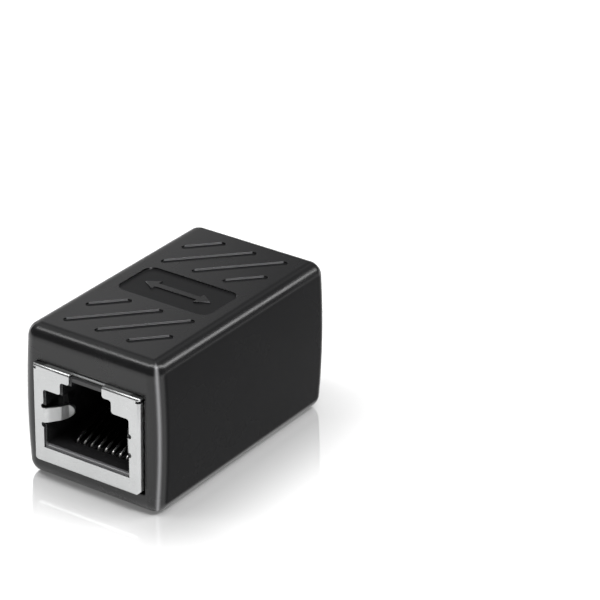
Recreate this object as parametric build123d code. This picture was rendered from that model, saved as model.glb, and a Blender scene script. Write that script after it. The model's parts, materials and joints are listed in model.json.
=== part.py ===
from build123d import *
import os
from math import cos, radians, sin, tan

# In-line coupler that joins two eight-contact network plugs, in millimetres.
# X runs across the coupler, Y along it, Z up. The front port faces -Y.
# The origin is the middle of the underside. The rear port is the front port turned half a turn about Z.

# Housing, a moulded sleeve that is open at both ends
housing_length = 33.8
housing_width = 20.0            # at mid height, where the barrelled sides are widest
housing_height = 19.5
side_crown = 0.47               # how far each side bulges at mid height
housing_edge_radius = 1.8
bore_clearance = 0.1            # around the shield, on each side
bore_corner_radius = 0.2

# Slanted grip grooves on top, in a field near each end
groove_count = 4
groove_width = 1.0
groove_depth = 0.22
groove_angle = 47.0             # from X towards Y, in degrees
groove_pitch = 4.5              # measured along X
groove_field_width = 13.0       # ends of the grooves' centre lines, along X
groove_field_length = 8.5       # the same, along Y
groove_field_gap = 5.1          # from the coupler's middle to the near end of each field

# Label recess in the middle of the top
recess_width = 13.2
recess_length = 7.0
recess_depth = 0.22
recess_corner_radius = 1.3

# Shield, one folded sheet around each port
sheet = 0.3
bend_radius = 0.05              # inside the folds
shield_width = 15.2
shield_height = 12.55
shield_proud = 0.8              # how far the shield's face stands out of the housing
shield_depth = 12.0             # from the face to the end of the folded flanges
port_drop = 0.775               # port's middle below the housing's middle
top_corner_gap = 0.3            # slot between the top flange and the end of each side flange
top_corner_reach = 0.5          # how far that slot runs into the face
bottom_corner_gap = 0.6         # bevel between the bottom and side flanges

# Stepped window in the shield's face
window_width = 12.25
window_sill = 2.05              # above the shield's underside
window_height = 7.55            # from the sill to the shoulders
step_width = 7.3
step_height = 1.6
keyway_width = 4.7
keyway_reach = 0.75             # how far the keyway runs back into the top flange
window_corner_radius = 0.35

# Spring finger on each side of the window
finger_width = 1.9
finger_rise = 4.15              # middle of the finger above the sill
finger_relief_radius = 0.33
finger_root_run = 0.12          # from the window's edge to the corner of the first bend
finger_first_run = 1.85
finger_first_angle = 38.0       # from straight back, towards the middle
finger_second_run = 1.0
finger_second_angle = 22.0
finger_third_run = 0.85
finger_third_angle = 42.0
finger_bend_radius = 0.5
finger_tip_width = 1.75
finger_tip_length = 0.55        # rounded end, seen from the front

# Locking barb on each side flange, and the pocket in the housing that it snaps into
barb_width = 1.6
barb_length = 2.2
barb_stand = 0.45
barb_setback = 6.5              # from the shield's face to the barb's free end
barb_slot = 0.25                # sheared gap around the barb
barb_play = 0.1                 # between the barb and the faces of its pocket
barb_pocket_depth = 0.6

# Jack body, the moulded insert behind the shield's face
body_clearance = 0.05           # inside the shield, on each side
cavity_inset = 0.15             # the plastic edge shows this much inside the metal window
cavity_floor_rise = 0.4         # plastic floor above the window's sill
back_wall = 1.2                 # between the cavity and the contact carrier
sill_lip_setback = 0.05         # from the shield's face to the lip that covers the sill
sill_lip_clearance = 0.05       # between that lip and the sill
sill_radius = 0.5               # rounded lead-in at the front of the floor
latch_lip = 1.6                 # thickness of the lips that catch the plug's latch
latch_pocket_rise = 0.6         # pocket behind the lips, above the step
latch_pocket_margin = 1.8       # between the pocket's end and the cavity's back wall
finger_pocket_depth = 0.75      # room in each side wall for the pressed finger
finger_pocket_length = 4.4
finger_pocket_margin = 0.25     # above and below the finger

# Contact strips
contact_count = 8
contact_pitch = 1.016
contact_width = 0.4
contact_thickness = 0.3
contact_setback = 2.85          # from the shield's face to the foremost point of the bend
contact_hairpin_radius = 0.4    # of the strip's centre line
contact_slope = 20.0            # of the springy leg, in degrees
contact_tip_length = 1.3        # level end of the springy leg
contact_tip_reach = 0.25        # how far the tip enters its comb slot
contact_bend_radius = 0.35
channel_clearance = 0.1         # beside the strip, on each side
channel_depth = 0.85            # below the cavity's floor
channel_lead = 0.35             # channel in front of the bend
comb_slot_depth = 0.9           # into the back wall
comb_slot_above = 0.5           # over the tip at rest
comb_slot_below = 2.6           # room for the tip when a plug presses it down
contact_foot_length = 1.4       # end that lies flat on the board, for soldering

# Contact carrier behind the cavity's back wall
carrier_margin = 1.4            # beside the outermost strips
carrier_length = 2.1
carrier_gap = 0.9               # to the board, where the feet are soldered
carrier_below = 0.6             # under the channels' floor
carrier_above = 1.8             # over the strips
carrier_clearance = 0.05

# Board between the two ports
board_thickness = 1.6
board_clearance = 0.2           # inside the housing's bore, on each side

# Places that follow from the sizes above
face_y = -(housing_length / 2 + shield_proud)
port_middle = housing_height / 2 - port_drop
shield_bottom = port_middle - shield_height / 2
shield_top = port_middle + shield_height / 2
sill = shield_bottom + window_sill
shoulder = sill + window_height
step_top = shoulder + step_height
finger_middle = sill + finger_rise
cavity_floor = sill + cavity_floor_rise
channel_floor = cavity_floor - channel_depth
board_face = -board_thickness / 2
carrier_end = board_face - carrier_gap
wall_end = carrier_end - carrier_length
cavity_end = wall_end - back_wall
barb_end = face_y + barb_setback
leg_low = channel_floor + contact_thickness / 2
hairpin_y = face_y + contact_setback + contact_thickness / 2 + contact_hairpin_radius
spring_y = hairpin_y - contact_hairpin_radius * sin(radians(contact_slope))
spring_height = leg_low + contact_hairpin_radius * (1 + cos(radians(contact_slope)))
tip_y = cavity_end + contact_tip_reach
knee_y = tip_y - contact_tip_length
tip_height = spring_height + (knee_y - spring_y) * tan(radians(contact_slope))
channel_width = contact_width + 2 * channel_clearance
carrier_width = (contact_count - 1) * contact_pitch + contact_width + 2 * carrier_margin
carrier_bottom = channel_floor - carrier_below
carrier_top = leg_low + contact_thickness / 2 + carrier_above


# Helpers

def block(x_range, y_range, z_range):
    """A box given by its lowest and highest X, Y and Z."""
    size = [high - low for low, high in (x_range, y_range, z_range)]
    middle = [(high + low) / 2 for low, high in (x_range, y_range, z_range)]
    return Pos(*middle) * Box(*size)


def across(width, y_range, z_range):
    """A box that is centred across the coupler."""
    return block((-width / 2, width / 2), y_range, z_range)


def turned(piece):
    """The same piece at the rear port."""
    return Rot(0, 0, 180) * piece


def contact_x(number):
    return (number - (contact_count + 1) / 2) * contact_pitch


# Housing

def groove_ends(number):
    """Ends of one slanted groove's centre line, where the groove leaves its field."""
    slope = tan(radians(groove_angle))
    half_width = groove_field_width / 2
    low = -(groove_field_gap + groove_field_length)
    high = -groove_field_gap
    middle = (low + high) / 2
    crossing = (number - (groove_count - 1) / 2) * groove_pitch
    start_y = max(low, middle + slope * (-half_width - crossing))
    end_y = min(high, middle + slope * (half_width - crossing))
    return [(crossing + (y - middle) / slope, y) for y in (start_y, end_y)]


def groove(number):
    (start_x, start_y), (end_x, end_y) = groove_ends(number)
    middle = ((start_x + end_x) / 2, (start_y + end_y) / 2)
    length = ((end_x - start_x) ** 2 + (end_y - start_y) ** 2) ** 0.5
    slot = Rot(0, 0, groove_angle) * SlotCenterToCenter(length - groove_width, groove_width)
    base = Pos(*middle, housing_height - groove_depth) * slot
    return extrude(base, amount=2 * groove_depth)


def barb_pocket(side):
    inner = side * (shield_width / 2 + bore_clearance / 2)
    outer = side * (shield_width / 2 + bore_clearance + barb_pocket_depth)
    half = barb_width / 2 + barb_play
    y_range = (barb_end - barb_play, barb_end + barb_length + barb_play)
    return block(sorted((inner, outer)), y_range, (port_middle - half, port_middle + half))


def make_housing():
    foot = housing_width / 2 - side_crown
    middle = housing_height / 2
    side_radius = (side_crown ** 2 + middle ** 2) / (2 * side_crown)
    with BuildPart() as sleeve:
        with BuildSketch(Plane.XZ):
            with BuildLine():
                for side in (-1, 1):
                    low = (side * foot, 0)
                    widest = (side * housing_width / 2, middle)
                    high = (side * foot, housing_height)
                    RadiusArc(low, widest, -side * side_radius)
                    RadiusArc(widest, high, -side * side_radius)
                Line((-foot, 0), (foot, 0))
                Line((-foot, housing_height), (foot, housing_height))
            make_face()
        extrude(amount=housing_length / 2, both=True)
        widest_edges = sleeve.edges().filter_by(
            lambda edge: abs(edge.center().Z - middle) < side_crown
            and abs(edge.center().Y) < side_crown
        )
        fillet(sleeve.edges() - widest_edges, housing_edge_radius)
        with BuildSketch(Plane.XZ):
            with Locations((0, port_middle)):
                RectangleRounded(
                    shield_width + 2 * bore_clearance,
                    shield_height + 2 * bore_clearance,
                    bore_corner_radius,
                )
        extrude(amount=housing_length, both=True, mode=Mode.SUBTRACT)
        with BuildSketch(Plane.XY.offset(housing_height - recess_depth)):
            RectangleRounded(recess_width, recess_length, recess_corner_radius)
        extrude(amount=2 * recess_depth, mode=Mode.SUBTRACT)
    body = sleeve.part
    for number in range(groove_count):
        body -= groove(number)
        body -= turned(groove(number))
    for side in (-1, 1):
        body -= barb_pocket(side)
        body -= turned(barb_pocket(side))
    return body


# Shield

def folded_box(inset, radius, end):
    """The block inside a folded sheet, with rounded edges around its front face."""
    width = shield_width - 2 * inset
    z_range = (shield_bottom + inset, shield_top - inset)
    solid = across(width, (face_y + inset, end), z_range)
    front_edges = solid.faces().sort_by(Axis.Y)[0].edges()
    return fillet(front_edges, radius)


def corner_relief(side, at_top):
    """The cut that parts two flanges along a corner of the fold: a slot at the top, a bevel below."""
    corner_x = side * shield_width / 2
    if at_top:
        slot_middle = shield_top - sheet - top_corner_gap / 2
        outline = Pos(corner_x, slot_middle) * Rectangle(2 * top_corner_reach, top_corner_gap)
    else:
        bevel = bottom_corner_gap * 2 ** 0.5
        outline = Pos(corner_x, shield_bottom) * Rot(0, 0, 45) * Rectangle(bevel, bevel)
    return extrude(Plane.XZ * outline, amount=2 * housing_length, both=True)


def window_outline(inset, floor, top):
    """Stepped outline of the port, this much inside the metal window's sides and shoulders."""
    half = window_width / 2 - inset
    step = step_width / 2 - inset
    key = keyway_width / 2 - inset
    points = [
        (half, floor),
        (half, shoulder - inset),
        (step, shoulder - inset),
        (step, step_top - inset),
        (key, step_top - inset),
        (key, top),
    ]
    mirrored = [(-x, z) for x, z in reversed(points)]
    return make_face(Polyline(*points, *mirrored, close=True))


def finger_path(side):
    """Plan view of a finger's centre line: out of the face, then back and inwards in three runs."""
    plane_y = face_y + sheet / 2
    x = window_width / 2 - finger_root_run
    y = plane_y
    points = [(window_width / 2 + sheet, plane_y), (x, y)]
    runs = (
        (finger_first_run, finger_first_angle),
        (finger_second_run, finger_second_angle),
        (finger_third_run, finger_third_angle),
    )
    for run, angle in runs:
        x -= run * sin(radians(angle))
        y += run * cos(radians(angle))
        points.append((x, y))
    return [(side * x, y) for x, y in points]


def finger(side):
    with BuildPart() as spring:
        with BuildSketch(Plane.XY.offset(finger_middle)):
            with BuildLine():
                FilletPolyline(*finger_path(side), radius=finger_bend_radius)
            trace(line_width=sheet)
        extrude(amount=finger_width / 2, both=True)
        # The finger narrows a little and ends in a rounded tip, as seen from the front
        tip = (finger_path(side)[-1][0], finger_middle)
        root_x = side * (window_width / 2 + 2 * sheet)
        shoulder_x = tip[0] + side * finger_tip_length
        root_low = (root_x, finger_middle - finger_width / 2)
        root_high = (root_x, finger_middle + finger_width / 2)
        shoulder_low = (shoulder_x, finger_middle - finger_tip_width / 2)
        shoulder_high = (shoulder_x, finger_middle + finger_tip_width / 2)
        with BuildSketch(Plane.XZ):
            with BuildLine():
                Polyline(shoulder_low, root_low, root_high, shoulder_high)
                ThreePointArc(shoulder_high, tip, shoulder_low)
            make_face()
        extrude(amount=2 * housing_length, both=True, mode=Mode.INTERSECT)
    return spring.part


def barb(side):
    """Tongue sheared out of a side flange, bent outwards towards its free end."""
    middle_x = shield_width / 2 - sheet / 2
    root_y = barb_end + barb_length
    points = [
        (side * middle_x, root_y + barb_slot),
        (side * middle_x, root_y),
        (side * (middle_x + barb_stand), barb_end),
    ]
    with BuildPart() as tongue:
        with BuildSketch(Plane.XY.offset(port_middle)):
            with BuildLine():
                Polyline(*points)
            trace(line_width=sheet)
        extrude(amount=barb_width / 2, both=True)
    return tongue.part


def barb_opening(side):
    inner = side * (shield_width / 2 - 2 * sheet)
    outer = side * (shield_width / 2 + sheet)
    half = barb_width / 2 + barb_slot
    y_range = (barb_end - barb_slot, barb_end + barb_length)
    return block(sorted((inner, outer)), y_range, (port_middle - half, port_middle + half))


def make_shield():
    flange_end = face_y + shield_depth
    shell = folded_box(0, bend_radius + sheet, flange_end)
    shell -= folded_box(sheet, bend_radius, flange_end + sheet)
    for side in (-1, 1):
        for at_top in (True, False):
            shell -= corner_relief(side, at_top)
    outline = window_outline(0, sill, shield_top + sheet)
    upper_corners = outline.vertices().filter_by(lambda v: finger_middle < v.Y < shield_top)
    outline = fillet(upper_corners, window_corner_radius)
    window = Plane.XZ.offset(-face_y + sheet) * outline
    shell -= extrude(window, amount=-(sheet + keyway_reach))
    relief_rise = finger_width / 2 + finger_relief_radius - sheet / 4
    for side in (-1, 1):
        for rise in (-relief_rise, relief_rise):
            hole = Rot(90, 0, 0) * Cylinder(finger_relief_radius, 4 * sheet)
            shell -= Pos(side * window_width / 2, face_y, finger_middle + rise) * hole
        shell += finger(side)
        shell -= barb_opening(side)
        shell += barb(side)
    return shell


# Contacts

def make_contact(number):
    """Strip from its foot on the board, forward under the floor, round and back up to the comb."""
    foot_y = board_face - contact_thickness / 2
    foot = (foot_y, leg_low + contact_foot_length)
    heel = (foot_y, leg_low)
    bend_start = (hairpin_y, leg_low)
    bend_front = (hairpin_y - contact_hairpin_radius, leg_low + contact_hairpin_radius)
    bend_end = (spring_y, spring_height)
    knee = (knee_y, tip_height)
    tip = (tip_y, tip_height)
    with BuildPart() as strip:
        with BuildSketch(Plane.YZ.offset(contact_x(number))):
            with BuildLine():
                FilletPolyline(foot, heel, bend_start, radius=contact_bend_radius)
                ThreePointArc(bend_start, bend_front, bend_end)
                FilletPolyline(bend_end, knee, tip, radius=contact_bend_radius)
            trace(line_width=contact_thickness)
        extrude(amount=contact_width / 2, both=True)
    return strip.part


# Jack body

def cavity():
    """Room for the plug, with a rounded lead-in over the sill."""
    front = face_y - sheet
    nose = face_y + sill_lip_setback
    lead_end = (nose + sill_radius, cavity_floor)
    roof = shoulder - cavity_inset
    with BuildPart() as room:
        with BuildSketch(Plane.YZ):
            with BuildLine():
                Line((front, cavity_floor - sill_radius), (nose, cavity_floor - sill_radius))
                RadiusArc((nose, cavity_floor - sill_radius), lead_end, sill_radius)
                Polyline(
                    lead_end,
                    (cavity_end, cavity_floor),
                    (cavity_end, roof),
                    (front, roof),
                    (front, cavity_floor - sill_radius),
                )
            make_face()
        extrude(amount=window_width / 2 - cavity_inset, both=True)
    return room.part


def keyway():
    """Stepped slot for the plug's latch, with lips at the front and a pocket behind them."""
    pocket_top = step_top - cavity_inset + latch_pocket_rise
    lip_end = face_y + sheet + latch_lip
    outline = Plane.XZ.offset(-face_y) * window_outline(cavity_inset, cavity_floor, pocket_top)
    lips = extrude(outline, amount=-(sheet + latch_lip))
    step = step_width - 2 * cavity_inset
    pocket_y = (lip_end - sheet, cavity_end - latch_pocket_margin)
    pocket = across(step, pocket_y, (cavity_floor, pocket_top))
    return lips + pocket


def finger_pocket(side):
    inner = side * (window_width / 2 - 2 * cavity_inset)
    outer = side * (window_width / 2 - cavity_inset + finger_pocket_depth)
    half = finger_width / 2 + finger_pocket_margin
    y_range = (face_y, face_y + finger_pocket_length)
    return block(sorted((inner, outer)), y_range, (finger_middle - half, finger_middle + half))


def contact_channel(number):
    """Floor channel of one contact, through the back wall, and the comb slot for its tip."""
    x_range = (contact_x(number) - channel_width / 2, contact_x(number) + channel_width / 2)
    channel_start = face_y + contact_setback - channel_lead
    channel = block(x_range, (channel_start, wall_end), (channel_floor, cavity_floor))
    slot_y = (cavity_end - sheet, cavity_end + comb_slot_depth)
    slot_z = (tip_height - comb_slot_below, tip_height + comb_slot_above)
    return channel + block(x_range, slot_y, slot_z)


def make_jack_body():
    width = shield_width - 2 * sheet - 2 * body_clearance
    z_range = (shield_bottom + sheet + body_clearance, shield_top - sheet - body_clearance)
    body = across(width, (face_y + sheet, board_face), z_range)
    front_edges = body.faces().sort_by(Axis.Y)[0].edges()
    body = chamfer(front_edges, bend_radius)
    body += across(
        window_width - 2 * cavity_inset,
        (face_y + sill_lip_setback, face_y + 2 * sheet),
        (sill + sill_lip_clearance, cavity_floor),
    )
    body -= cavity()
    body -= keyway()
    for side in (-1, 1):
        body -= finger_pocket(side)
    for number in range(1, contact_count + 1):
        body -= contact_channel(number)
    body -= across(
        carrier_width + 2 * carrier_clearance,
        (wall_end, board_face + sheet),
        (carrier_bottom, carrier_top + carrier_clearance),
    )
    return body


# Carrier and board

def make_carrier(contacts):
    """Moulded block that grips the contacts where they leave the cavity."""
    body = across(carrier_width, (wall_end, carrier_end), (carrier_bottom, carrier_top))
    for contact in contacts:
        body -= contact
    return body


def make_board():
    inside_width = shield_width + 2 * bore_clearance - 2 * board_clearance
    inside_height = shield_height + 2 * bore_clearance - 2 * board_clearance
    half_height = inside_height / 2
    return across(
        inside_width,
        (-board_thickness / 2, board_thickness / 2),
        (port_middle - half_height, port_middle + half_height),
    )


# Build every piece and write it

def main():
    contacts = [make_contact(number) for number in range(1, contact_count + 1)]
    port_pieces = {
        "shield": make_shield(),
        "jack_body": make_jack_body(),
        "contact_carrier": make_carrier(contacts),
    }
    pieces = {"housing": make_housing(), "circuit_board": make_board()}
    for name, piece in port_pieces.items():
        pieces[name + "_front"] = piece
        pieces[name + "_rear"] = turned(piece)
    for number, contact in enumerate(contacts, start=1):
        pieces[f"contact_front_{number}"] = contact
        pieces[f"contact_rear_{number}"] = turned(contact)
    os.makedirs("parts", exist_ok=True)
    for name, piece in pieces.items():
        export_step(piece, f"parts/{name}.step")
        print(name, round(piece.volume, 3), len(piece.solids()), piece.is_valid)


main()
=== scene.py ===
# %% [markdown]
# # A network coupler for a product photo
# This script dresses a measured model of an in-line network coupler: a black moulded
# sleeve with a metal-shielded socket in each end. The measured solids are exact but
# have knife edges and no finish. Each cell gives one piece the small radii, the
# material and the wear that the real one has. Lengths are in metres, so `mm` turns
# millimetres into them.

# %% Load the measured model
import json
import math
import bmesh
import bpy
from mathutils import Matrix, Vector

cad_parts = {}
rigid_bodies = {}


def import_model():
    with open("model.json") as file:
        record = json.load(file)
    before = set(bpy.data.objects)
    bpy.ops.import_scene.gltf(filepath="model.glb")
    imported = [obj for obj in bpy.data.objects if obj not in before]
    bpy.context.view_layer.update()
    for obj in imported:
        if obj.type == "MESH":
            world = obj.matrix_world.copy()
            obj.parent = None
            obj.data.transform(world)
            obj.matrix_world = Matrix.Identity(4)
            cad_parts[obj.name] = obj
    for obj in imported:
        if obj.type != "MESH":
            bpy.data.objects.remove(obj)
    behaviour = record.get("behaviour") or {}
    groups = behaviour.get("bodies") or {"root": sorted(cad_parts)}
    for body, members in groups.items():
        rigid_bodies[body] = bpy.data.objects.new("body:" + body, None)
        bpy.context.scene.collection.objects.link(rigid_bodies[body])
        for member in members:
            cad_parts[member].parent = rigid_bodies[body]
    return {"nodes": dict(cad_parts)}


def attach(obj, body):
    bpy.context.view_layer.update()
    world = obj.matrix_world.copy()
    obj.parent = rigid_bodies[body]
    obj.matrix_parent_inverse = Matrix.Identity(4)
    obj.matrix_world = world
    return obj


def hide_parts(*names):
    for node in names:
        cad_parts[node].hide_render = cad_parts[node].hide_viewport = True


# Whatever a new file starts with would count in the box below, so it goes first.
for leftover in list(bpy.data.objects):
    bpy.data.objects.remove(leftover)
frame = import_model()
scene = bpy.context.scene
mm = 0.001
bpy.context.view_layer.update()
nodes = frame["nodes"]

# %% [markdown]
# ## Camera
# The photograph was taken with a long lens from the front right, about 27 degrees above
# the table. A long lens keeps the sleeve's edges nearly parallel, which is how small
# products are usually shown. The camera's place and turn were solved from the outline
# and the edges of the port, so its three axes are given as they came out.

# %% Camera
sensor_width = 36.0
focal_length = 184.378
lens_shift = (0.00065, 0.002635)
camera_right = Vector((0.826445, 0.562853, 0.013601))
camera_down = Vector((0.263546, -0.365395, -0.892765))
camera_forward = Vector((-0.497526, 0.741406, -0.450317))
camera_place = Vector((190.0206, -257.6688, 179.6378)) * mm

camera_data = bpy.data.cameras.new("camera")
camera = bpy.data.objects.new("camera", camera_data)
scene.collection.objects.link(camera)
axes = Matrix((camera_right, -camera_down, -camera_forward)).transposed()
camera.matrix_world = Matrix.Translation(camera_place) @ axes.to_4x4()
camera_data.lens = focal_length
camera_data.sensor_width = sensor_width
camera_data.shift_x, camera_data.shift_y = lens_shift
camera_data.clip_start = 10 * mm
camera_data.clip_end = 5000 * mm
scene.camera = camera
scene.view_settings.view_transform = "Standard"
print("camera distance in mm:", round(camera_place.length / mm, 1))

# %% [markdown]
# ## Helpers for materials
# Colours are chosen as they look on screen, in hex, while a shader needs linear values,
# so one function converts them. Another adds a node, sets its inputs and links it, and
# a few short ones build on it, such as a soft step from one level to another and a
# noise whose patches have a real size. They keep every material short enough to read
# from top to bottom.

# %% Colour and node helpers
def colour(hex_code):
    """Linear RGBA of an sRGB hex colour."""
    levels = [int(hex_code[i:i + 2], 16) / 255 for i in (0, 2, 4)]
    linear = [v / 12.92 if v <= 0.04045 else ((v + 0.055) / 1.055) ** 2.4 for v in levels]
    return (*linear, 1.0)


def add(tree, kind, settings=None, **inputs):
    """Adds a node. A value that is a socket is linked, any other value is set."""
    node = tree.nodes.new(kind)
    for key, value in (settings or {}).items():
        setattr(node, key, value)
    for key, value in inputs.items():
        by_number = key[0] == "i" and key[1:].isdigit()
        slot = node.inputs[int(key[1:]) if by_number else key.replace("_", " ")]
        if isinstance(value, bpy.types.NodeSocket):
            tree.links.new(value, slot)
        else:
            slot.default_value = value
    return node


def calculate(tree, operation, first, second=0.0):
    """The socket of one Math node."""
    return add(tree, "ShaderNodeMath", {"operation": operation}, i0=first, i1=second).outputs[0]


def fade(tree, value, start, end, low=0.0, high=1.0):
    """A soft step: low where the value is at start, high where it is at end."""
    return add(tree, "ShaderNodeMapRange", {"interpolation_type": "SMOOTHSTEP"},
               i0=value, i1=start, i2=end, i3=low, i4=high).outputs[0]


def patches(tree, place, size, detail=3.0):
    """Noise from 0 to 1 whose patches are about that many millimetres wide."""
    noise = add(tree, "ShaderNodeTexNoise", Vector=place, Scale=1 / (size * mm), Detail=detail)
    return noise.outputs["Fac"]


def between(tree, factor, first, second):
    """A mix of two colours."""
    return add(tree, "ShaderNodeMix", {"data_type": "RGBA"}, i0=factor, i6=first, i7=second).outputs[2]


def vary(tree, noise, low, high):
    """Spreads the middle of a noise over a range, for roughness."""
    return add(tree, "ShaderNodeMapRange", i0=noise, i1=0.3, i2=0.7, i3=low, i4=high).outputs[0]


def raised(tree, noise, strength, height):
    """A bump normal of that height in millimetres."""
    return add(tree, "ShaderNodeBump", Strength=strength, Distance=height * mm, Height=noise).outputs[0]


def places(tree):
    """The point in the coupler's own frame, and its distances from the middle planes."""
    place = add(tree, "ShaderNodeTexCoord").outputs["Object"]
    size = add(tree, "ShaderNodeVectorMath", {"operation": "ABSOLUTE"}, i0=place)
    return place, add(tree, "ShaderNodeSeparateXYZ", i0=size.outputs[0]).outputs


def new_material(name):
    """An empty node material with its output and a principled shader already joined."""
    material = bpy.data.materials.new(name)
    material.use_nodes = True
    tree = material.node_tree
    tree.nodes.clear()
    output = tree.nodes.new("ShaderNodeOutputMaterial")
    shader = tree.nodes.new("ShaderNodeBsdfPrincipled")
    tree.links.new(shader.outputs[0], output.inputs["Surface"])
    return material, tree, shader


print("red as the shader needs it:", [round(v, 3) for v in colour("c03020")])

# %% [markdown]
# ## The moulded sleeve
# The sleeve is one moulding: flat top, bottom and ends, gently barrelled sides and the
# same radius round every outer edge. A bevel could round a box, but where the sides are
# curved it leaves uneven corners. So the surface is laid up ring by ring. Each point of
# the outline is a core point plus a direction, and pushing it out by less and less of
# the edge radius makes the rounded ends and the ball-shaped corners exactly.

# %% Sizes of the sleeve
sleeve_width = 19.99
sleeve_height = 19.5
sleeve_length = 33.8
side_crown = 0.47
edge_radius = 1.8
bore_width = 15.4
bore_height = 12.75
bore_radius = 0.2
mouth_radius = 0.12
port_middle = 8.975
corner_steps, side_steps, flat_steps = 12, 8, 4
edge_steps, mouth_steps = 12, 3


def arc(start, end, steps):
    """Angles in radians from start to end degrees, both ends included."""
    return [math.radians(start + (end - start) * i / steps) for i in range(steps + 1)]


def half_outline():
    """Right half of the outline, bottom to top, as (core, direction, bore core, bore direction)."""
    middle = sleeve_height / 2
    bow = (side_crown ** 2 + middle ** 2) / (2 * side_crown)
    centre_x = sleeve_width / 2 - bow
    tilt = math.asin((middle - edge_radius) / (bow - edge_radius))
    core_x = centre_x + (bow - edge_radius) * math.cos(tilt)
    bore_x = bore_width / 2 - bore_radius
    bore_z = bore_height / 2 - bore_radius
    points = []
    for i in range(flat_steps):
        share = i / flat_steps
        points.append(((core_x * share, edge_radius), (0, -1), (bore_x * share, -bore_z), (0, -1)))
    low_corner = zip(arc(-90, -math.degrees(tilt), corner_steps), arc(-90, 0, corner_steps))
    high_corner = zip(arc(math.degrees(tilt), 90, corner_steps), arc(0, 90, corner_steps))
    for turn, bore_turn in low_corner:
        points.append(((core_x, edge_radius), (math.cos(turn), math.sin(turn)),
                       (bore_x, -bore_z), (math.cos(bore_turn), math.sin(bore_turn))))
    for i in range(1, side_steps):
        share = 2 * i / side_steps - 1
        turn = tilt * share
        reach = bow - edge_radius
        points.append(((centre_x + reach * math.cos(turn), middle + reach * math.sin(turn)),
                       (math.cos(turn), math.sin(turn)), (bore_x, bore_z * share), (1, 0)))
    for turn, bore_turn in high_corner:
        points.append(((core_x, sleeve_height - edge_radius), (math.cos(turn), math.sin(turn)),
                       (bore_x, bore_z), (math.cos(bore_turn), math.sin(bore_turn))))
    for i in range(flat_steps - 1, -1, -1):
        share = i / flat_steps
        points.append(((core_x * share, sleeve_height - edge_radius), (0, 1),
                       (bore_x * share, bore_z), (0, 1)))
    return points


right_half = half_outline()
left_half = [tuple((-x, z) for x, z in point) for point in reversed(right_half[1:-1])]
outline = right_half + left_half
print("points round the sleeve:", len(outline))

# %% [markdown]
# ## Grooves and the label recess
# The grip grooves and the recess are sunk into the flat top. Each has a small rounded lip
# and a rounded foot, because a mould can't make a knife edge, and the lip is what
# catches the light. One function describes all of them as a rounded rectangle that
# shrinks as it goes down, since a groove is only a very narrow one with round ends.

# %% Sunken features
def rounded_rectangle(width, length, radius, grow=0.0, steps=8):
    """Points of a rounded rectangle enlarged by grow, each with its outward direction."""
    radius = max(radius + grow, 0.02)
    half_x, half_y = width / 2 + grow - radius, length / 2 + grow - radius
    points = []
    for start, sign_x, sign_y in ((0, 1, 1), (90, -1, 1), (180, -1, -1), (270, 1, -1)):
        for turn in arc(start, start + 90, steps):
            out = (math.cos(turn), math.sin(turn))
            place = (sign_x * half_x + radius * out[0], sign_y * half_y + radius * out[1])
            points.append((place, out))
    return points


def sink_profile(depth, radius, steps=4):
    """(growth, depth, up, in) from the face over the lip, down the wall and round the foot."""
    turns = arc(0, 90, steps)
    over = [(radius * (1 - math.sin(a)), radius * (1 - math.cos(a)), math.cos(a), math.sin(a))
            for a in turns]
    under = [(radius * (math.cos(a) - 1), depth - radius * (1 - math.sin(a)), math.sin(a), math.cos(a))
             for a in turns]
    return over + under


lip_radius = 0.03
groove_width, groove_depth, groove_angle = 1.0, 0.22, math.radians(47.0)
groove_pitch, groove_count = 4.5, 4
field_width, field_length, field_gap = 13.0, 8.5, 5.1


def groove_line(number):
    """Middle and length of one slanted groove in the front field."""
    slope = math.tan(groove_angle)
    low, high = -(field_gap + field_length), -field_gap
    middle = (low + high) / 2
    crossing = (number - (groove_count - 1) / 2) * groove_pitch
    start = max(low, middle + slope * (-field_width / 2 - crossing))
    end = min(high, middle + slope * (field_width / 2 - crossing))
    ends = [(crossing + (y - middle) / slope, y) for y in (start, end)]
    place = ((ends[0][0] + ends[1][0]) / 2, (start + end) / 2)
    return place, math.dist(*ends)


grooves = [groove_line(number) for number in range(groove_count)]
print("groove lengths in mm:", [round(length, 2) for place, length in grooves])

# %% [markdown]
# ## Laying up the sleeve
# Rings are joined by quads, and the flat top is filled between the outline and the lips
# of the grooves in one go. The two side walls of the bore are filled the same way,
# round the pockets that the shield's barbs snap into. The direction that each point
# faces is known from the way it was laid up, so it is stored with the point. It becomes
# the shading normal, which keeps the flats perfectly flat, and the material reads it to
# paint a highlight on the upright corners. How far a point is sunk is stored too, as a
# share of the depth, so that the floors of the grooves can be rougher than their lips.

# %% Build the sleeve
sleeve_mesh = bmesh.new()
facing = sleeve_mesh.verts.layers.float_vector.new("facing")
sunken = sleeve_mesh.verts.layers.float.new("sunken")


def ring(points):
    """One closed row of points, each given with the direction it faces."""
    verts = []
    for place, normal in points:
        vert = sleeve_mesh.verts.new(Vector(place) * mm)
        vert[facing] = Vector(normal).normalized()
        verts.append(vert)
    return verts


def join(first, second, skip=()):
    """Quads between two closed rings, without the steps in skip."""
    count = len(first)
    for i in range(count):
        j = (i + 1) % count
        if i not in skip:
            sleeve_mesh.faces.new((first[i], first[j], second[j], second[i]))


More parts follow.
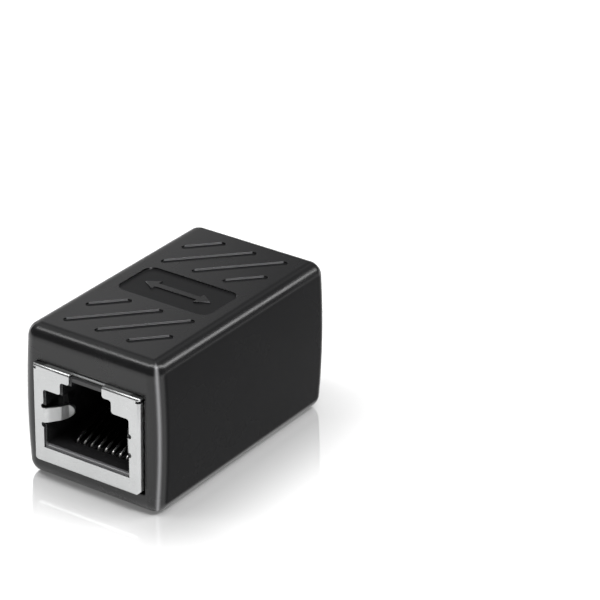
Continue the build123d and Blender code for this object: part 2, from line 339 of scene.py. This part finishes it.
def end_rings(side):
    """Rings at one end, from the bore wall over the mouth and the end face to the outer skin."""
    face = sleeve_length / 2
    rings = []
    for turn in arc(0, 90, mouth_steps):
        grow = mouth_radius * (1 - math.cos(turn))
        y = side * (face - mouth_radius + mouth_radius * math.sin(turn))
        reach = bore_radius + grow
        rings.append(ring([((cx + dx * reach, y, port_middle + cz + dz * reach),
                            (-dx * math.cos(turn), side * math.sin(turn), -dz * math.cos(turn)))
                           for core, turned, (cx, cz), (dx, dz) in outline]))
    for turn in arc(90, 0, edge_steps):
        reach = edge_radius * math.cos(turn)
        y = side * (face - edge_radius + edge_radius * math.sin(turn))
        rings.append(ring([((cx + dx * reach, y, cz + dz * reach),
                            (dx * math.cos(turn), side * math.sin(turn), dz * math.cos(turn)))
                           for (cx, cz), (dx, dz), *bore in outline]))
    for inner, outer in zip(rings, rings[1:]):
        join(inner, outer)
    return rings


def sink(points_at, profile, place, direct):
    """Rings of one sunken feature. place and direct turn its flat points and directions into 3-D."""
    rings = []
    for grow, depth, up, inwards in profile:
        rings.append(ring([(place(p, depth), direct((-out[0] * inwards, -out[1] * inwards), up))
                           for p, out in points_at(grow)]))
        for vert in rings[-1]:
            vert[sunken] = depth / profile[-1][1]
    for upper, lower in zip(rings, rings[1:]):
        join(upper, lower)
    sleeve_mesh.faces.new(rings[-1])
    return rings[0]


def edges_round(verts):
    """The edges of a closed row of points, made where they are missing."""
    pairs = zip(verts, verts[1:] + verts[:1])
    return [sleeve_mesh.edges.get(pair) or sleeve_mesh.edges.new(pair) for pair in pairs]


def fill_flat(front, rear, steps, holes):
    """Fills the flat strip between two rings over those steps, leaving the holes open."""
    columns = list(range(steps[0], steps[-1] + 2))
    loop = [front[i % len(front)] for i in columns] + [rear[i % len(rear)] for i in reversed(columns)]
    edges = edges_round(loop)
    for hole in holes:
        edges += edges_round(hole)
    bmesh.ops.triangle_fill(sleeve_mesh, edges=list(dict.fromkeys(edges)),
                            use_beauty=True, use_dissolve=False)


# %% [markdown]
# The ends come first, because the flat top and the walls of the bore are filled between
# their rings. The front field of grooves is repeated at the rear, turned half a turn.

# %% Ends, grooves and recess
front_rings, rear_rings = end_rings(-1), end_rings(1)
wall_start = flat_steps + corner_steps
top_start = wall_start + side_steps + corner_steps
right_wall = list(range(wall_start, wall_start + side_steps))
top_steps = list(range(top_start, top_start + 2 * flat_steps))
left_wall = [len(outline) - 1 - i for i in reversed(right_wall)]

lips = []
across, along = math.cos(groove_angle), math.sin(groove_angle)
for (groove_x, groove_y), length in grooves:
    for sign in (1, -1):
        def turned(point, sign=sign):
            return (sign * (point[0] * across - point[1] * along),
                    sign * (point[0] * along + point[1] * across))

        def on_top(point, depth, sign=sign, x=groove_x, y=groove_y):
            px, py = turned(point)
            return (sign * x + px, sign * y + py, sleeve_height - depth)

        def turned_up(flat_part, up):
            return (*turned(flat_part), up)
        lips.append(sink(lambda grow, n=length: rounded_rectangle(n, groove_width, groove_width / 2, grow),
                         sink_profile(groove_depth, lip_radius), on_top, turned_up))

recess_width, recess_length, recess_radius, recess_depth = 13.2, 7.0, 1.3, 0.22
lips.append(sink(lambda grow: rounded_rectangle(recess_width, recess_length, recess_radius, grow),
                 sink_profile(recess_depth, lip_radius),
                 lambda point, depth: (point[0], point[1], sleeve_height - depth),
                 lambda flat_part, up: (flat_part[0], flat_part[1], up)))
fill_flat(front_rings[-1], rear_rings[-1], top_steps, lips)
join(front_rings[-1], rear_rings[-1], skip=set(top_steps))
print("sunken features on top:", len(lips))

# %% [markdown]
# Each side wall of the bore has two pockets for the barbs. All other stretches of the
# skin and of the bore are plain quads. The volume and the number of open edges are
# printed.

# %% Pockets and the closed skin
pocket_middle, pocket_length, pocket_height = 10.1, 2.4, 1.8
pocket_depth, pocket_corner = 0.6, 0.05
for wall, sign in ((right_wall, 1), (left_wall, -1)):
    pockets = []
    for end in (1, -1):
        pockets.append(sink(
            lambda grow: rounded_rectangle(pocket_length, pocket_height, pocket_corner, grow, 2),
            [(0, 0, 1, 0), (0, pocket_depth, 1, 0)],
            lambda point, depth, end=end, sign=sign: (
                sign * (bore_width / 2 + depth), end * pocket_middle + point[0], port_middle + point[1]),
            lambda flat_part, up, sign=sign: (-sign * up, 0, 0)))
    fill_flat(front_rings[0], rear_rings[0], wall, pockets)
join(front_rings[0], rear_rings[0], skip=set(right_wall) | set(left_wall))
bmesh.ops.remove_doubles(sleeve_mesh, verts=sleeve_mesh.verts, dist=0.0005 * mm)
bmesh.ops.recalc_face_normals(sleeve_mesh, faces=sleeve_mesh.faces)
print("faces:", len(sleeve_mesh.faces),
      "open edges:", sum(not e.is_manifold for e in sleeve_mesh.edges),
      "volume in mm3:", round(sleeve_mesh.calc_volume() / mm ** 3, 1))

# %% [markdown]
# ## Finishing a mesh
# A finished piece is smooth-shaded. Where its directions were stored they become its
# normals, and elsewhere the normals are weighted by area, so flats stay flat either way.
# The modifiers are applied, which leaves one plain mesh at the origin that moves with
# the coupler.

# %% Finish helpers
def settle(obj):
    """Replaces an object's mesh by the result of its modifiers."""
    bpy.context.view_layer.update()
    seen = obj.evaluated_get(bpy.context.evaluated_depsgraph_get())
    mesh = bpy.data.meshes.new_from_object(seen)
    obj.modifiers.clear()
    obj.data = mesh
    return obj


def finish_piece(name, mesh, material, stands_for):
    """Makes the object of a finished mesh and ties it to the coupler."""
    obj = bpy.data.objects.new(name, mesh)
    scene.collection.objects.link(obj)
    mesh.shade_smooth()
    mesh.materials.clear()
    mesh.materials.append(material)
    if "facing" in mesh.attributes:
        directions = [item.vector for item in mesh.attributes["facing"].data]
        mesh.normals_split_custom_set_from_vertices(directions)
    else:
        weigh = obj.modifiers.new("weighted normals", "WEIGHTED_NORMAL")
        weigh.weight = 100  # the face area decides alone
        weigh.keep_sharp = True
        settle(obj)
    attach(obj, "root")
    if stands_for:
        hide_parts(*stands_for)
    print(name, "triangles:", sum(len(p.vertices) - 2 for p in obj.data.polygons))
    return obj


def softened(node_name, radius, segments=2, angle=35.0):
    """A merged copy of a measured solid with a small radius on its hard edges."""
    shape = bmesh.new()
    shape.from_mesh(nodes[node_name].data)
    bmesh.ops.remove_doubles(shape, verts=shape.verts, dist=0.001 * mm)
    bmesh.ops.dissolve_limit(shape, angle_limit=math.radians(0.3), verts=shape.verts, edges=shape.edges)
    mesh = bpy.data.meshes.new(node_name + "_dressed")
    shape.to_mesh(mesh)
    shape.free()
    obj = bpy.data.objects.new(node_name + "_dressed", mesh)
    scene.collection.objects.link(obj)
    bevel = obj.modifiers.new("edge radius", "BEVEL")
    bevel.width = radius * mm
    bevel.segments = segments
    bevel.limit_method = "ANGLE"
    bevel.angle_limit = math.radians(angle)
    bevel.use_clamp_overlap = True
    settle(obj)
    mesh = obj.data
    bpy.data.objects.remove(obj)
    return mesh


print("helpers ready for", sum(node.startswith(("shield", "jack")) for node in nodes), "measured solids")

# %% [markdown]
# ## Materials
# The sleeve is ABS, injection moulded in a fine-grained mould, so it is black with a
# sheen, and the grain is too fine to see and only breaks up the highlights. The floors
# of the grooves and of the recess keep the mould's rougher grain, so they look darker
# than the rubbed top. The four upright corners get a painted highlight, a paler grey:
# its mask is the product of the two level parts of the stored direction, which is
# largest halfway round a corner, and a high power keeps it narrow. The long sides and
# the flat top have lost most of their gloss, and the rounded edges between have kept it.

# %% Satin black ABS
def satin_abs():
    """Black ABS: dull flats, glossy edges, and a painted highlight in grey on the upright corners."""
    material, tree, shader = new_material("moulded_black_ABS_satin")
    place = add(tree, "ShaderNodeTexCoord").outputs["Object"]
    stored = add(tree, "ShaderNodeAttribute", {"attribute_name": "facing"}).outputs["Vector"]
    level = add(tree, "ShaderNodeVectorMath", {"operation": "MULTIPLY"}, i0=stored, i1=(1, 1, 0))
    unit = add(tree, "ShaderNodeVectorMath", {"operation": "NORMALIZE"}, i0=level.outputs[0])
    length = add(tree, "ShaderNodeVectorMath", {"operation": "LENGTH"}, i0=level.outputs[0])
    parts = add(tree, "ShaderNodeSeparateXYZ", i0=unit.outputs[0]).outputs

    # Corners: the mask of the painted highlight, 1 where the direction is level and halfway between an end
    # and a side.
    product = calculate(tree, "ABSOLUTE", calculate(tree, "MULTIPLY", parts[0], parts[1]))
    narrow = calculate(tree, "POWER", calculate(tree, "MULTIPLY", product, 2.0), 34.0)
    upright = fade(tree, length.outputs["Value"], 0.35, 0.8)
    corner = calculate(tree, "MULTIPLY", narrow, upright)

    # Colour: near black in cloudy patches of 6 mm, with a painted highlight in grey on the upright
    # corners.
    patch = patches(tree, place, 6)
    shade = between(tree, patch, colour("131314"), colour("19191a"))
    tree.links.new(between(tree, corner, shade, colour("969698")), shader.inputs["Base Color"])

    # Roughness: a sheen on the outside, duller the deeper a point is sunken.
    depth = add(tree, "ShaderNodeAttribute", {"attribute_name": "sunken"}).outputs["Fac"]
    rough = add(tree, "ShaderNodeMix", {"data_type": "FLOAT"}, i0=fade(tree, depth, 0.3, 0.95),
                i2=vary(tree, patch, 0.24, 0.29), i3=0.55)
    tree.links.new(rough.outputs[0], shader.inputs["Roughness"])
    grain = patches(tree, place, 0.12, detail=2.0)
    tree.links.new(raised(tree, grain, 0.08, 0.02), shader.inputs["Normal"])

    # Gloss: nearly normal on ends and edges, little on the long sides and on the flat top.
    edge_gloss, side_gloss, top_gloss = 0.42, 0.03, 0.1
    turned = add(tree, "ShaderNodeSeparateXYZ", i0=stored).outputs
    sideways = calculate(tree, "ABSOLUTE", turned[0])
    beside = fade(tree, sideways, 0.9, 0.99, edge_gloss, side_gloss)
    gloss = fade(tree, turned[2], 0.93, 0.99, beside, top_gloss)
    tree.links.new(gloss, shader.inputs["Specular IOR Level"])
    shader.inputs["IOR"].default_value = 1.52
    return material


abs_black = satin_abs()
print("finish of the sleeve:", abs_black.name)

# %% [markdown]
# The shields are stamped from thin steel sheet and nickel plated before they are folded.
# The plate is bright and slightly cloudy. The spring fingers are scored by the plugs that
# rub along them, so they are rougher and their bends show as soft bands.

# %% Bright nickel plate
def nickel_plate():
    """Nickel with a drawn grain along X, cloudy over 3.5 mm, and dull on the fingers."""
    material, tree, shader = new_material("stamped_steel_nickel_plate")
    place, away = places(tree)

    # The fingers are what lies behind the face, at 17.7 mm, and inside the window.
    behind_face = fade(tree, away[1], 17.5 * mm, 17.1 * mm)
    in_window = fade(tree, away[0], 6.3 * mm, 5.9 * mm)
    scored = calculate(tree, "MULTIPLY", behind_face, in_window)

    cloud = patches(tree, place, 3.5, detail=2.0)
    tint = between(tree, cloud, colour("b8b9b9"), colour("c4c5c5"))
    tree.links.new(tint, shader.inputs["Base Color"])
    shader.inputs["Metallic"].default_value = 1.0
    drawn = add(tree, "ShaderNodeMapping", i0=place, Scale=(1.0, 1.0, 12.0)).outputs[0]
    grain = patches(tree, drawn, 0.8)
    rough = add(tree, "ShaderNodeMix", {"data_type": "FLOAT"}, i0=scored,
                i2=vary(tree, grain, 0.26, 0.34), i3=0.5)
    tree.links.new(rough.outputs[0], shader.inputs["Roughness"])
    tree.links.new(raised(tree, grain, 0.06, 0.01), shader.inputs["Normal"])
    return material


nickel = nickel_plate()
print("finish of the shields:", nickel.name)

# %% [markdown]
# The board and the carriers are hardly seen and get plain finishes, the board the green
# of solder mask. The contacts are bronze. Only the bend that meets the plug is plated
# bright, and the run behind it gets painted shade, so eight short glints stand in a dark port.

# %% Board, carrier and contact finishes
def plain_finish(name, dark, pale, patch_size, roughness, bump_strength):
    """A finish whose colour and roughness wander slightly, over patches of a real size."""
    material, tree, shader = new_material(name)
    place = add(tree, "ShaderNodeTexCoord").outputs["Object"]
    patch = patches(tree, place, patch_size)
    tint = between(tree, patch, colour(dark), colour(pale))
    tree.links.new(tint, shader.inputs["Base Color"])
    tree.links.new(vary(tree, patch, roughness - 0.03, roughness + 0.03), shader.inputs["Roughness"])
    tree.links.new(raised(tree, patch, bump_strength, 0.02), shader.inputs["Normal"])
    return material, tree, shader, tint


def bronze_with_painted_shade():
    """Bright metal on the bend, fading to painted shade, a dark bronze, between 14.2 and 13 mm from the
    middle.
    """
    material, tree, shader, plate = plain_finish(
        "bronze_strip_bright_plating", "f4f3f1", "fafaf8", 0.6, 0.36, 0.03)
    _, away = places(tree)
    at_bend = fade(tree, away[1], 13.0 * mm, 14.2 * mm)
    # The dark bronze behind the bend is painted shade inside the port.
    tree.links.new(between(tree, at_bend, colour("3c3a37"), plate), shader.inputs["Base Color"])
    shader.inputs["Metallic"].default_value = 1.0
    return material


carrier_black = plain_finish("moulded_black_thermoplastic_matt", "101011", "19191a", 1.0, 0.5, 0.08)[0]
solder_mask = plain_finish("green_solder_mask_on_glass_fibre", "0d3a1c", "14502a", 0.7, 0.3, 0.05)[0]
contact_plate = bronze_with_painted_shade()
print("finishes inside:", carrier_black.name, solder_mask.name, contact_plate.name)

# %% [markdown]
# The jack bodies are moulded in a harder black plastic. The rounded front of the floor
# gets a painted highlight, a paler grey band.

# %% Jack body plastic
def insert_with_painted_highlight():
    """Glossy black plastic, with a painted highlight, a pale band, along the front of the cavity's floor.
    """
    material, tree, shader = new_material("moulded_black_thermoplastic")
    place, away = places(tree)

    # The painted highlight is on the foremost and lowest part, the rounded front of the floor.
    near_mouth = fade(tree, away[1], 17.1 * mm, 17.25 * mm)
    at_floor = fade(tree, away[2], 5.5 * mm, 5.2 * mm)
    lead_in_highlight = calculate(tree, "MULTIPLY", near_mouth, at_floor)

    patch = patches(tree, place, 1.5)
    shade = between(tree, patch, colour("202021"), colour("29292a"))
    tree.links.new(between(tree, lead_in_highlight, shade, colour("626264")), shader.inputs["Base Color"])
    tree.links.new(vary(tree, patch, 0.2, 0.26), shader.inputs["Roughness"])
    shader.inputs["IOR"].default_value = 1.55
    return material


insert_black = insert_with_painted_highlight()
print("materials:", sorted(m.name for m in bpy.data.materials if "_" in m.name))

# %% [markdown]
# ## The pieces
# The sleeve's own mesh stands for its measured solid. The shields and the jack bodies
# are copies of theirs with softened edges: a sheared sheet has an edge radius of some
# hundredths of a millimetre, and that thin bright rim says metal more than its colour does.

# %% Sleeve, shields and jack bodies
housing_mesh = bpy.data.meshes.new("sleeve")
sleeve_mesh.to_mesh(housing_mesh)
sleeve_mesh.free()
finish_piece("moulded_sleeve", housing_mesh, abs_black, ["housing"])
sheared_radius, moulded_radius = 0.03, 0.05
for end in ("front", "rear"):
    finish_piece("port_shield_" + end, softened("shield_" + end, sheared_radius),
                 nickel, ["shield_" + end])
    finish_piece("port_insert_" + end, softened("jack_body_" + end, moulded_radius),
                 insert_black, ["jack_body_" + end])

# %% [markdown]
# ## Raised arrow in the recess
# The recess says what the part does without words: a low double-headed arrow along it,
# for two plugs that meet. It is moulded with the sleeve, so it has the same finish and
# soft edges. Its foot reaches a little under the recess floor, so no gap shows. Its top
# stores an upward direction like the sleeve's, so both take the light alike.

# %% Double-headed arrow
arrow_half, arrow_shaft, arrow_head, arrow_head_length = 4.7, 0.42, 1.15, 1.7
arrow_foot, arrow_rise, arrow_edge = 0.05, 0.16, 0.07
recess_floor = sleeve_height - recess_depth
arrow_low, arrow_high = recess_floor - arrow_foot, recess_floor + arrow_rise
neck = arrow_half - arrow_head_length
right_side = [(neck, -arrow_shaft), (neck, -arrow_head), (arrow_half, 0),
              (neck, arrow_head), (neck, arrow_shaft)]
arrow_outline = right_side + [(-x, -y) for x, y in right_side]
arrow_shape = bmesh.new()
foot_face = arrow_shape.faces.new([arrow_shape.verts.new(Vector((x, y, arrow_low)) * mm)
                                   for x, y in arrow_outline])
extruded = bmesh.ops.extrude_face_region(arrow_shape, geom=[foot_face])
for item in extruded["geom"]:
    if isinstance(item, bmesh.types.BMVert):
        item.co.z = arrow_high * mm
bmesh.ops.recalc_face_normals(arrow_shape, faces=arrow_shape.faces)
rim = [e for e in arrow_shape.edges if max(v.co.z for v in e.verts) > (arrow_high - 0.01) * mm]
bmesh.ops.bevel(arrow_shape, geom=rim, offset=arrow_edge * mm, segments=3, affect="EDGES", profile=0.5)
arrow_shape.normal_update()
arrow_facing = arrow_shape.verts.layers.float_vector.new("facing")
for vert in arrow_shape.verts:
    level_top = vert.co.z > (arrow_high - 0.001) * mm
    vert[arrow_facing] = Vector((0, 0, 1)) if level_top else vert.normal
arrow_mesh = bpy.data.meshes.new("recess_arrow")
arrow_shape.to_mesh(arrow_mesh)
arrow_shape.free()
finish_piece("recess_arrow", arrow_mesh, abs_black, [])

# %% [markdown]
# ## Contacts
# The eight contacts of a port are one strip repeated at an even pitch, so Geometry Nodes
# draw them: a strip's side view is a curve, a rounded profile is swept along it, and
# points in a row carry the copies. The strip comes up from the board, runs forward under
# the floor, turns back in a hairpin and slopes up into the comb. Its rolled edges are
# round, which gives each bend a narrow curved glint.

# %% Side view of one strip
def rounded_path(corners, radius, steps=6):
    """A path through corners in a plane, with an arc of that radius at each inner one."""
    path = [Vector(corners[0])]
    for before, here, after in zip(corners, corners[1:], corners[2:]):
        here = Vector(here)
        back, ahead = (Vector(before) - here).normalized(), (Vector(after) - here).normalized()
        half = back.angle(ahead) / 2
        centre = here + (back + ahead).normalized() * radius / math.sin(half)
        start, end = here + back * radius / math.tan(half), here + ahead * radius / math.tan(half)
        for i in range(steps + 1):
            spoke = (start - centre).slerp(end - centre, i / steps)
            path.append(centre + spoke.normalized() * radius)
    return path + [Vector(corners[-1])]


contact_width, contact_thickness, contact_pitch, contact_count = 0.4, 0.3, 1.016, 8
rolled_edge, bend_radius = 0.11, 0.35
leg_low, hairpin_radius, hairpin_y, slope = 4.45, 0.4, -14.3, math.radians(20.0)
tip_y, tip_length = -4.75, 1.3
foot_y, foot_length = -0.95, 1.4
spring_start = (hairpin_y - hairpin_radius * math.sin(slope),
                leg_low + hairpin_radius * (1 + math.cos(slope)))
knee_y = tip_y - tip_length
tip_height = spring_start[1] + (knee_y - spring_start[0]) * math.tan(slope)
lower = rounded_path([(foot_y, leg_low + foot_length), (foot_y, leg_low), (hairpin_y, leg_low)],
                     bend_radius)
hairpin = [Vector((hairpin_y + hairpin_radius * math.cos(a), leg_low + hairpin_radius * (1 + math.sin(a))))
           for a in arc(-90, -250, 18)][1:-1]
upper = rounded_path([spring_start, (knee_y, tip_height), (tip_y, tip_height)], bend_radius)
side_view = lower + hairpin + upper
print("points along a strip:", len(side_view), "tip height in mm:", round(tip_height, 3))

# %% Contact row by Geometry Nodes
def contact_row_tree():
    """Sweeps a rolled-edge profile along a path and repeats the strip in a centred row."""
    tree = bpy.data.node_groups.new("contact_row", "GeometryNodeTree")
    sockets = tree.interface
    sockets.new_socket("Strip path", in_out="INPUT", socket_type="NodeSocketGeometry")
    for label, kind in (("Count", "Int"), ("Pitch", "Float"), ("Width", "Float"), ("Thickness", "Float"),
                        ("Edge radius", "Float"), ("Finish", "Material")):
        sockets.new_socket(label, in_out="INPUT", socket_type="NodeSocket" + kind)
    sockets.new_socket("Row", in_out="OUTPUT", socket_type="NodeSocketGeometry")
    given = tree.nodes.new("NodeGroupInput").outputs
    profile = add(tree, "GeometryNodeCurvePrimitiveQuadrilateral",
                  Width=given["Thickness"], Height=given["Width"])
    rolled = add(tree, "GeometryNodeFilletCurve", Curve=profile.outputs[0], Radius=given["Edge radius"])
    set_fillet_steps(tree, rolled)
    strip = add(tree, "GeometryNodeCurveToMesh", Curve=given["Strip path"],
                Profile_Curve=rolled.outputs[0], Fill_Caps=True)
    gaps = calculate(tree, "SUBTRACT", given["Count"], 1.0)
    row_width = calculate(tree, "MULTIPLY", gaps, given["Pitch"])
    start = add(tree, "ShaderNodeCombineXYZ", X=calculate(tree, "MULTIPLY", row_width, -0.5))
    step = add(tree, "ShaderNodeCombineXYZ", X=given["Pitch"])
    spots = add(tree, "GeometryNodeMeshLine", Count=given["Count"],
                Start_Location=start.outputs[0], Offset=step.outputs[0])
    row = add(tree, "GeometryNodeInstanceOnPoints", Points=spots.outputs[0], Instance=strip.outputs[0])
    real = add(tree, "GeometryNodeRealizeInstances", Geometry=row.outputs[0])
    finished = add(tree, "GeometryNodeSetMaterial", Geometry=real.outputs[0], Material=given["Finish"])
    result = tree.nodes.new("NodeGroupOutput")
    tree.links.new(finished.outputs[0], result.inputs[0])
    return tree


def set_fillet_steps(tree, fillet):
    """Asks the fillet for plain points, by whichever way this version names it."""
    if hasattr(fillet, "mode"):
        fillet.mode = "POLY"
    else:
        fillet.inputs["Mode"].default_value = "Poly"
    fillet.inputs["Count"].default_value = 4


# %% [markdown]
# One row is made for each port. The inputs are set by their identifiers before the row
# is first evaluated, and the result is kept as one plain mesh that stands for the eight
# measured strips.

# %% Contact rows
row_tree = contact_row_tree()
values = {"Count": contact_count, "Pitch": contact_pitch * mm, "Width": contact_width * mm,
          "Thickness": contact_thickness * mm, "Edge radius": rolled_edge * mm, "Finish": contact_plate}
for end, turn in (("front", 0.0), ("rear", math.pi)):
    curve = bpy.data.curves.new("contact_path_" + end, "CURVE")
    curve.dimensions = "3D"
    line = curve.splines.new("POLY")
    line.points.add(len(side_view) - 1)
    for point, (y, z) in zip(line.points, side_view):
        point.co = (0, y * mm, z * mm, 1)
    holder = bpy.data.objects.new("contact_path_" + end, curve)
    scene.collection.objects.link(holder)
    maker = holder.modifiers.new("contact row", "NODES")
    maker.node_group = row_tree
    for item in row_tree.interface.items_tree:
        if item.in_out == "INPUT" and item.name in values:
            maker[item.identifier] = values[item.name]
    bpy.context.view_layer.update()
    made = holder.evaluated_get(bpy.context.evaluated_depsgraph_get())
    mesh = bpy.data.meshes.new_from_object(made)
    mesh.transform(Matrix.Rotation(turn, 4, "Z"))
    bpy.data.objects.remove(holder)
    shape = bmesh.new()
    shape.from_mesh(mesh)
    bmesh.ops.recalc_face_normals(shape, faces=shape.faces)
    shape.to_mesh(mesh)
    shape.free()
    finish_piece("port_contacts_" + end, mesh, contact_plate,
                 [f"contact_{end}_{number}" for number in range(1, contact_count + 1)])

# %% [markdown]
# ## Hidden pieces
# The board and the contact carriers are right as measured, so they keep their meshes
# and only get a finish.

# %% Board and carriers
for name, finish in (("circuit_board", solder_mask), ("contact_carrier_front", carrier_black),
                     ("contact_carrier_rear", carrier_black)):
    nodes[name].data.materials.clear()
    nodes[name].data.materials.append(finish)
    print(name, "keeps its measured mesh, finish:", finish.name)

# %% [markdown]
# ## Table
# The coupler stands on a glossy white sheet, in which its mirror image shows close by and
# fades out within 15 mm, as in a product photo. The image is only mixed in for rays that
# look at the table. The same goes for the sheet's lift to full white, so the table keeps
# its soft shadow and no extra light reaches the part.

# %% Floor
table_lift = 0.25
image_box = (9.5, 14.5)      # half the width and length inside which the image is strongest
image_reach = 15.0
image_share = 0.48


def white_table():
    """A white lacquered sheet. Its mirror image of the coupler fades with the distance."""
    material, tree, shader = new_material("white_lacquered_table")
    rays = add(tree, "ShaderNodeLightPath").outputs
    looked_at = calculate(tree, "MAXIMUM", rays["Is Camera Ray"], rays["Is Transmission Ray"])
    looked_at = calculate(tree, "MAXIMUM", looked_at, rays["Is Glossy Ray"])
    shader.inputs["Base Color"].default_value = colour("f0f0f0")
    shader.inputs["Roughness"].default_value = 0.5
    shader.inputs["Specular IOR Level"].default_value = 0.0
    shader.inputs["Emission Color"].default_value = colour("ffffff")
    tree.links.new(calculate(tree, "MULTIPLY", looked_at, table_lift), shader.inputs["Emission Strength"])

    place = add(tree, "ShaderNodeTexCoord").outputs["Object"]
    size = add(tree, "ShaderNodeVectorMath", {"operation": "ABSOLUTE"}, i0=place)
    beyond = add(tree, "ShaderNodeVectorMath", {"operation": "SUBTRACT"}, i0=size.outputs[0],
                 i1=(image_box[0] * mm, image_box[1] * mm, 1.0))
    outside = add(tree, "ShaderNodeVectorMath", {"operation": "MAXIMUM"},
                  i0=beyond.outputs[0], i1=(0, 0, 0))
    distance = add(tree, "ShaderNodeVectorMath", {"operation": "LENGTH"}, i0=outside.outputs[0])
    share = fade(tree, distance.outputs["Value"], 0.0, image_reach * mm, image_share, 0.0)
    mirror = add(tree, "ShaderNodeBsdfGlossy", Color=colour("ffffff"), Roughness=0.05)
    both = add(tree, "ShaderNodeMixShader", i0=calculate(tree, "MULTIPLY", share, rays["Is Camera Ray"]),
               i1=shader.outputs[0], i2=mirror.outputs[0])
    output = next(node for node in tree.nodes if node.type == "OUTPUT_MATERIAL")
    tree.links.new(both.outputs[0], output.inputs["Surface"])
    return material


bpy.ops.mesh.primitive_plane_add(size=3.0, location=(0, 0, -0.02 * mm))
floor = bpy.context.object
floor.name = "floor"
floor.data.materials.append(white_table())
print("table finish:", floor.data.materials[0].name)

# %% [markdown]
# ## Lamps
# A black part shows little of its own colour, so it is lit by what it mirrors. Two long
# soft strips hang over it in an L and meet above the near corner. One draws the line
# along the front top edge, the other the line along the right top edge, and the upright
# corner mirrors both. The ends and the bend of each strip lie where those edges send the
# camera's sight. A small card behind the coupler, off to the left, puts a soft gradient
# on the flat top that falls away to the right.

# %% Lamps
def softbox(name, towards, distance, sides, power, along=None):
    """A rectangular lamp that faces the coupler, its first side laid along a direction."""
    lamp = bpy.data.lights.new(name, "AREA")
    lamp.shape = "RECTANGLE"
    lamp.size, lamp.size_y = sides
    lamp.energy = power
    obj = bpy.data.objects.new(name, lamp)
    scene.collection.objects.link(obj)
    target = Vector((0, 0, sleeve_height / 2 * mm))
    away = Vector(towards).normalized()
    first = Vector(along or (1, 0, 0))
    first = (first - away * first.dot(away)).normalized()
    turned = Matrix((first, away.cross(first), away)).transposed()
    obj.matrix_world = Matrix.Translation(target + away * distance) @ turned.to_4x4()
    print(name, "power in W:", power, "distance in m:", distance)


over_front_edge = Vector((-0.498, -0.333, 0.801))
over_corner = Vector((0.45, -0.2, 0.87))
over_right_edge = Vector((0.51, 0.741, 0.436))
for name, start, end in (("front_strip", over_front_edge, over_corner),
                         ("right_strip", over_corner, over_right_edge)):
    softbox(name, start + end, 0.8, (1.12, 0.16), 4.7, along=end - start)

behind_left = Vector((-0.4975, 0.7414, 0.4503)) * 0.25 + Vector((-0.9, -0.3, 0.0)) * 0.09
softbox("back_card", behind_left, 0.26, (0.15, 0.15), 0.07)

# %% [markdown]
# ## Room
# The room is dim, with one broad bright patch above the left. It fills the top evenly,
# and the right side stays dark against it.

# %% Studio room
room_level, patch_level = 0.12, 0.6
world = bpy.data.worlds.new("studio_room")
scene.world = world
world.use_nodes = True
room = world.node_tree
background = room.nodes["Background"]
background.inputs["Color"].default_value = colour("ffffff")
above_left = Vector((-0.499, 0.301, 0.813))
aim = add(room, "ShaderNodeTexCoord").outputs["Generated"]
towards = add(room, "ShaderNodeVectorMath", {"operation": "DOT_PRODUCT"}, i0=aim, i1=above_left)
room.links.new(fade(room, towards.outputs["Value"], 0.70, 0.90, room_level, patch_level),
               background.inputs["Strength"])
print("room levels:", room_level, "to", patch_level)
